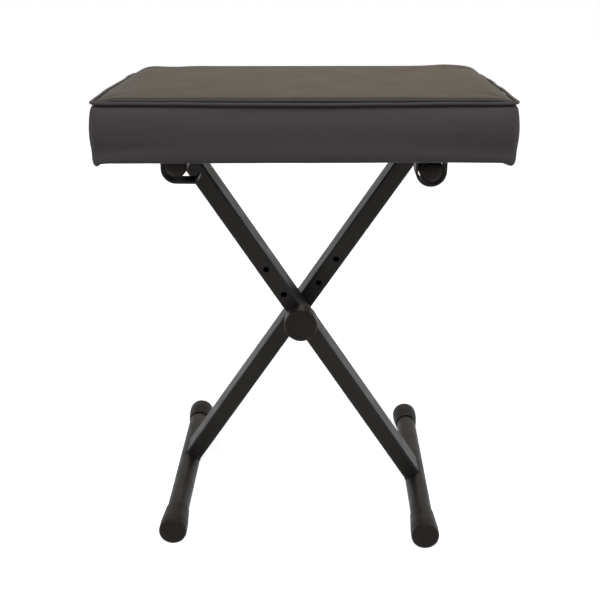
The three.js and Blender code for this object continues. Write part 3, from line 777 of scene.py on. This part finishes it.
def cross_tube_ends(name, settings):
    """Both beads of one leg."""
    leg, leg_half = box_middle(f"{name}_tube")
    top, radius = box_middle(f"{name}_top_tube")
    foot, _ = box_middle(f"{name}_foot_tube")
    top.y = foot.y = leg.y
    lean = math.copysign(settings.leg_lean, top.x - foot.x)
    along = Vector((math.sin(lean), 0, math.cos(lean)))
    level = foot + along * (top - foot).dot(along)
    return [
        weld_bead(level, -along, top - level, leg_half.y, radius.z, settings),
        weld_bead(foot, along, Vector((0, 0, 0)), leg_half.y, radius.z, settings),
    ]


def set_material(names, material):
    for name in names:
        made = nodes[name]
        if not made.material_slots:
            made.data.materials.append(material)
        for place in made.material_slots:
            place.material = material


# Settings


LENGTH = {"subtype": "DISTANCE", "unit": "LENGTH"}
ANGLE = {"subtype": "ANGLE", "unit": "ROTATION"}
COLOR = {"subtype": "COLOR", "size": 3}


class SeatSettings(PropertyGroup):
    mesh_step: FloatProperty(
        name="Mesh step", description="Distance between the cover's points", default=0.0056, **LENGTH)
    corner_radius: FloatProperty(
        name="Corner radius", description="Radius of the seat's upright corners", default=0.01, **LENGTH)
    piping_radius: FloatProperty(
        name="Piping radius", description="Radius of the cord along the seam", default=0.0017, **LENGTH)
    seam_set: FloatProperty(
        name="Seam set", description="Depth of the seam under the frame's cord", default=0.0028, **LENGTH)
    piping_inset: FloatProperty(
        name="Piping inset", description="How far the cord lies in from the side panels",
        default=0.0012, **LENGTH)
    corner_pull: FloatProperty(
        name="Corner pull", description="How far the cord is pulled in at the corners",
        default=0.0006, **LENGTH)
    seam_draw: FloatProperty(
        name="Seam draw", description="How far the seam pulls in between the corners",
        default=0.0012, **LENGTH)
    belly: FloatProperty(
        name="Belly", description="How far the middle of each side panel stands out",
        default=0.002, **LENGTH)
    end_puff: FloatProperty(
        name="End puff", description="How far the front and back panels stand out near their ends",
        default=0.0034, **LENGTH)
    tuck: FloatProperty(
        name="Tuck", description="How far the lower edge is pulled in at the front and back",
        default=0.0032, **LENGTH)
    seam_sag: FloatProperty(
        name="Seam sag", description="How far the seam hangs between the corners", default=0.0012, **LENGTH)
    seam_fall: FloatProperty(
        name="Seam fall", description="How much lower the seam lies at the back", default=0.0059, **LENGTH)
    tilt: FloatProperty(
        name="Tilt", description="How much higher the seam lies at the right end", default=0.0015, **LENGTH)
    crown: FloatProperty(
        name="Crown", description="Height of the puffed top over the seam", default=0.0069, **LENGTH)
    crown_fall: FloatProperty(
        name="Crown fall", description="How much lower the top lies at its front", default=0.0028, **LENGTH)
    shoulder_width: FloatProperty(
        name="Shoulder width", description="Width of the top's rolled edge", default=0.02, **LENGTH)
    front_shoulder: FloatProperty(
        name="Front shoulder", description="Width of the top's steep front edge", default=0.003, **LENGTH)
    front_bulge: FloatProperty(
        name="Front bulge", description="How far the puffed top hangs over at the front",
        default=0.0045, **LENGTH)
    bottom_drop: FloatProperty(
        name="Bottom drop", description="How far the side panels' lower edge hangs under the hem",
        default=0.0016, **LENGTH)
    bottom_tilt: FloatProperty(
        name="Bottom tilt", description="How much higher the lower edge lies at the right end",
        default=0.0023, **LENGTH)
    corner_drop: FloatProperty(
        name="Corner drop", description="How far the folded corners hang under the hem",
        default=0.0034, **LENGTH)
    corner_seam_depth: FloatProperty(
        name="Corner seam depth", description="Depth of the upright seams at the corners",
        default=0.0007, **LENGTH)
    cover_thickness: FloatProperty(
        name="Cover thickness", description="Thickness of the vinyl", default=0.0012, **LENGTH)
    wrinkle_depth: FloatProperty(
        name="Wrinkle depth", description="Depth of the cover's unevenness", default=0.0006, **LENGTH)
    pressure: FloatProperty(
        name="Pressure", description="Pressure that fills the cover out", default=4.0)
    swell: FloatProperty(
        name="Swell", description="Most that the cover may move when it fills out", default=0.001, **LENGTH)
    vinyl_color: FloatVectorProperty(
        name="Vinyl colour", description="Colour of the vinyl", default=(0.061, 0.0565, 0.0635), **COLOR)
    # Painted light: this colour on up-facing vinyl stands in for the warm light falling on the seat's top.
    painted_light_top_color: FloatVectorProperty(
        name="Painted light top colour", description="Colour of the vinyl where it faces up",
        default=(0.052, 0.043, 0.034), **COLOR)
    grain: FloatProperty(
        name="Grain", description="Size of the vinyl's pebbles", default=0.001, **LENGTH)


class FrameSettings(PropertyGroup):
    paint_color: FloatVectorProperty(
        name="Paint colour", description="Colour of the powder coat",
        default=(0.0060, 0.0058, 0.0056), **COLOR)
    paint_roughness: FloatProperty(
        name="Paint roughness", description="Roughness of the powder coat", default=0.48)
    plastic_color: FloatVectorProperty(
        name="Plastic colour", description="Colour of the caps, plugs and knob",
        default=(0.0085, 0.0074, 0.0068), **COLOR)
    weld_radius: FloatProperty(
        name="Weld radius", description="Radius of the weld beads", default=0.0011, **LENGTH)
    leg_half_width: FloatProperty(
        name="Leg half width", description="Half of the leg tube's width", default=0.01, **LENGTH)
    leg_lean: FloatProperty(
        name="Leg lean", description="How far each leg leans from upright",
        default=math.radians(33.62), **ANGLE)


class StageSettings(PropertyGroup):
    camera_place: FloatVectorProperty(
        name="Camera place", description="Where the camera stands",
        default=(0.01378, -1.07089, 0.65011), subtype="XYZ", unit="LENGTH", size=3)
    pitch: FloatProperty(
        name="Pitch", description="How far the camera looks down",
        default=math.radians(20.96), **ANGLE)
    yaw: FloatProperty(
        name="Yaw", description="How far the camera looks to the right",
        default=math.radians(-0.99), **ANGLE)
    roll: FloatProperty(
        name="Roll", description="How far the camera leans to the right",
        default=math.radians(0.21), **ANGLE)
    focal_share: FloatProperty(
        name="Focal share", description="Focal length as a share of the picture's width",
        default=968.62 / 600)
    floor_size: FloatProperty(
        name="Floor size", description="Half the floor's width", default=40.0, **LENGTH)
    floor_rings: IntProperty(
        name="Floor rings", description="Rings of faces in the floor", default=6)
    floor_glow: FloatProperty(
        name="Floor glow", description="White that the camera sees in the floor", default=0.88)
    key_power: FloatProperty(
        name="Key power", description="Power of the lamp at the front left", default=6.5, unit="POWER")
    front_power: FloatProperty(
        name="Front power", description="Power of the lamp above the front", default=28.0, unit="POWER")
    back_power: FloatProperty(
        name="Back power", description="Power of the lamp behind the bench", default=7.0, unit="POWER")
    fill_power: FloatProperty(
        name="Fill power", description="Power of the lamp at the right", default=6.5, unit="POWER")
    room_light: FloatProperty(
        name="Room light", description="Strength of the room's light from above", default=0.05)
    horizon_light: FloatProperty(
        name="Horizon light", description="Strength of the room's light from its walls", default=0.05)


# Operators


class BENCH_OT_cushion(Operator):
    """Makes the cushion's cover, filling and piping"""

    bl_idname = "bench.cushion"
    bl_label = "Cushion"

    def execute(self, context):
        s = context.scene.bench_seat
        # Painted light: both vinyls take a warmer or lighter colour on faces that point up, standing in for
        # light from above. The piping's sides take 0.95 of the vinyl colour and its top the full colour, a
        # painted highlight along its top.
        cover = vinyl("cover_vinyl", s.vinyl_color, s.painted_light_top_color, s.grain, 0.6)
        strip = vinyl("piping_vinyl", scaled(s.vinyl_color, 0.95), s.vinyl_color, s.grain * 0.8, 0.5)
        made, filling, shape = cushion_objects(s, cover, foam("foam_block"))
        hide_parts("seat_cover")
        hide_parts("seat_foam")
        piping = piping_object(shape, strip)
        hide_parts("seat_piping")
        for piece in (made, filling, piping):
            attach(piece, "seat")
        return {"FINISHED"}


class BENCH_OT_underside(Operator):
    """Finishes the seat's underside: board, lining and staples"""

    bl_idname = "bench.underside"
    bl_label = "Underside"

    def execute(self, context):
        s = context.scene.bench_seat
        set_material(["seat_board"], plywood("board_plywood"))
        made, size = lining_object(nonwoven("lining_cloth"))
        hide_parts("seat_lining")
        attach(made, "seat")
        wire = plated("staple_wire", (0.42, 0.42, 0.41), (0.58, 0.58, 0.56), 0.35)
        pins = staples_object(SeatShape(s), wire)
        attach(pins, "seat")
        return {"FINISHED"}


class BENCH_OT_legs(Operator):
    """Paints the legs and lays their weld beads"""

    bl_idname = "bench.legs"
    bl_label = "Legs"

    def execute(self, context):
        s = context.scene.bench_frame
        paint = powder_coat("frame_paint", s.paint_color, s.paint_roughness)
        for leg in ("rear_leg", "front_leg"):
            set_material([f"{leg}_tube", f"{leg}_top_tube", f"{leg}_foot_tube"], paint)
            beads = add_mesh(f"{leg}_welds", *joined(cross_tube_ends(leg, s)), paint)
            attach(beads, leg)
        paint = powder_coat("strap_paint", scaled(s.paint_color, 0.95), s.paint_roughness - 0.04)
        set_material(["front_hook", "rear_hook", "front_saddle", "rear_saddle"], paint)
        return {"FINISHED"}


class BENCH_OT_plastics(Operator):
    """Finishes the caps, plugs, knob and spacer"""

    bl_idname = "bench.plastics"
    bl_label = "Plastics"

    def execute(self, context):
        s = context.scene.bench_frame
        ends = [name for name in nodes if "_cap_" in name or "_plug_" in name]
        set_material(ends, moulded("cap_plastic", s.plastic_color, 0.5, 0.0006))
        set_material(["clamp_knob"], moulded("knob_plastic", scaled(s.plastic_color, 1.3), 0.46, 0.0008))
        set_material(["leg_spacer"], nylon("spacer_nylon"))
        return {"FINISHED"}


class BENCH_OT_metals(Operator):
    """Finishes the bolt, washers, screws and insert"""

    bl_idname = "bench.metals"
    bl_label = "Metals"

    def execute(self, context):
        screws = [name for name in nodes if "_screw_" in name]
        zinc = plated("bright_zinc", (0.50, 0.51, 0.52), (0.64, 0.65, 0.66), 0.32)
        set_material([*screws, "pivot_bolt", "bolt_washer", "knob_washer"], zinc)
        set_material(["knob_insert"], plated("turned_brass", (0.50, 0.36, 0.13), (0.66, 0.50, 0.22), 0.3))
        return {"FINISHED"}


FLOOR_LEVEL = -0.0002  # just under the feet


class BENCH_OT_stage(Operator):
    """Sets up the floor, the lamps and the camera"""

    bl_idname = "bench.stage"
    bl_label = "Stage"

    def execute(self, context):
        s = context.scene.bench_stage
        self.floor(s)
        self.world(context.scene, s)
        self.lamp("key_lamp", (-1.5, -1.0, 1.1), 0.9, s.key_power, (1.0, 0.985, 1.0))
        self.lamp("front_lamp", (0.1, -0.9, 2.2), 1.3, s.front_power, (1.0, 0.97, 0.93))
        self.lamp("back_lamp", (0.2, 3.0, 1.7), 2.4, s.back_power, (1.0, 0.72, 0.32))
        self.lamp("fill_lamp", (1.6, -0.9, 0.9), 0.9, s.fill_power, (0.98, 0.98, 1.0))
        self.camera(context.scene, s)
        context.scene.view_settings.view_transform = "Standard"
        return {"FINISHED"}

    def floor(self, s):
        """A floor that is open from below, so that the underside can be seen"""
        g = Graph("studio_floor")
        grain = g.noise(900, 2)
        shown = g.rays("Is Camera Ray", "Is Glossy Ray")
        bounced = g.tone(g.noise(3, 2), (0.46, 0.45, 0.44), (0.50, 0.49, 0.48))
        color = g.mixed(shown, bounced, (0.9, 0.9, 0.9, 1))
        shade = g.principled(
            color, g.spread(grain, 0.7, 0.8), g.bump(grain, 0.00005, 0.3), {"Specular IOR Level": 0.2})
        strength = g.maths("MULTIPLY", shown, s.floor_glow)
        glow = g.node("ShaderNodeEmission", {"Color": (1, 1, 1, 1), "Strength": strength})["Emission"]
        lit = g.node("ShaderNodeAddShader", {0: shade, 1: glow})["Shader"]
        clear = g.node("ShaderNodeBsdfTransparent")["BSDF"]
        behind = g.node("ShaderNodeNewGeometry")["Backfacing"]
        both = g.node("ShaderNodeMixShader", {"Fac": behind, 1: lit, 2: clear})["Shader"]
        g.node("ShaderNodeOutputMaterial", {"Surface": both})
        points, faces = [(0, 0, FLOOR_LEVEL)], []
        sides = 48
        for ring in range(1, s.floor_rings + 1):
            radius = s.floor_size * (ring / s.floor_rings) ** 3
            for turn in np.arange(sides) / sides * 2 * math.pi:
                points.append((radius * math.cos(turn), radius * math.sin(turn), FLOOR_LEVEL))
        for side in range(sides):
            beside = (side + 1) % sides
            faces.append((0, 1 + side, 1 + beside))
            for ring in range(s.floor_rings - 1):
                start = 1 + ring * sides
                faces.append((start + side, start + sides + side, start + sides + beside, start + beside))
        add_mesh("studio_floor", points, faces, g.owner)

    def world(self, scene, s):
        """White where it is seen, and a dim room for all other rays"""
        g = Graph("studio", world=True)
        way = g.node("ShaderNodeTexCoord")["Generated"]
        height = g.node("ShaderNodeSeparateXYZ", {"Vector": way})["Z"]
        level = g.spread(height, s.horizon_light, s.room_light, -0.1, 0.9)
        light = {"Color": (1.0, 0.985, 0.965, 1), "Strength": level}
        room = g.node("ShaderNodeBackground", light)["Background"]
        white = g.node("ShaderNodeBackground", {"Color": (1, 1, 1, 1), "Strength": 1.0})["Background"]
        seen = g.rays("Is Camera Ray", "Is Glossy Ray", "Is Transmission Ray")
        both = g.node("ShaderNodeMixShader", {"Fac": seen, 1: room, 2: white})["Shader"]
        g.node("ShaderNodeOutputWorld", {"Surface": both})
        scene.world = g.owner

    def lamp(self, name, place, size, power, color):
        data = bpy.data.lights.new(name, "AREA")
        data.shape = "DISK"
        data.size = size
        data.energy = power
        data.color = color
        made = bpy.data.objects.new(name, data)
        made.location = place
        made.rotation_mode = "QUATERNION"
        made.rotation_quaternion = (Vector((0, 0, 0.3)) - Vector(place)).to_track_quat("-Z", "Y")
        bpy.context.scene.collection.objects.link(made)

    def camera(self, scene, s):
        forward = Vector((
            math.sin(s.yaw) * math.cos(s.pitch), math.cos(s.yaw) * math.cos(s.pitch), -math.sin(s.pitch)))
        right = Vector((math.cos(s.yaw), -math.sin(s.yaw), 0))
        up = right.cross(forward)
        leaning = right * math.cos(s.roll) + up * math.sin(s.roll)
        above = up * math.cos(s.roll) - right * math.sin(s.roll)
        turn = Matrix((leaning, above, -forward)).transposed()
        data = bpy.data.cameras.new("camera")
        data.sensor_width = 36
        data.lens = 36 * s.focal_share
        data.clip_start, data.clip_end = 0.01, 200
        made = bpy.data.objects.new("camera", data)
        made.matrix_world = Matrix.Translation(s.camera_place) @ turn.to_4x4()
        scene.collection.objects.link(made)
        scene.camera = made


STEPS = (
    BENCH_OT_cushion,
    BENCH_OT_underside,
    BENCH_OT_legs,
    BENCH_OT_plastics,
    BENCH_OT_metals,
    BENCH_OT_stage,
)


class BENCH_PT_panel(Panel):
    """The bench's settings and steps"""

    bl_idname = "BENCH_PT_panel"
    bl_label = "Bench"
    bl_space_type = "VIEW_3D"
    bl_region_type = "UI"
    bl_category = "Bench"

    def draw(self, context):
        layout = self.layout
        for step in STEPS:
            layout.operator(step.bl_idname)
        for name in SETTINGS:
            group = getattr(context.scene, name)
            box = layout.box()
            for key in group.__annotations__:
                box.prop(group, key)


SETTINGS = {"bench_seat": SeatSettings, "bench_frame": FrameSettings, "bench_stage": StageSettings}
CLASSES = (*SETTINGS.values(), *STEPS, BENCH_PT_panel)


def register():
    for cls in CLASSES:
        bpy.utils.register_class(cls)
    for name, group in SETTINGS.items():
        setattr(bpy.types.Scene, name, PointerProperty(type=group))


def unregister():
    for name in SETTINGS:
        delattr(bpy.types.Scene, name)
    for cls in reversed(CLASSES):
        bpy.utils.unregister_class(cls)


def main():
    register()
    bpy.ops.bench.cushion()
    bpy.ops.bench.underside()
    bpy.ops.bench.legs()
    bpy.ops.bench.plastics()
    bpy.ops.bench.metals()
    bpy.ops.bench.stage()


if __name__ == "__main__":
    main()
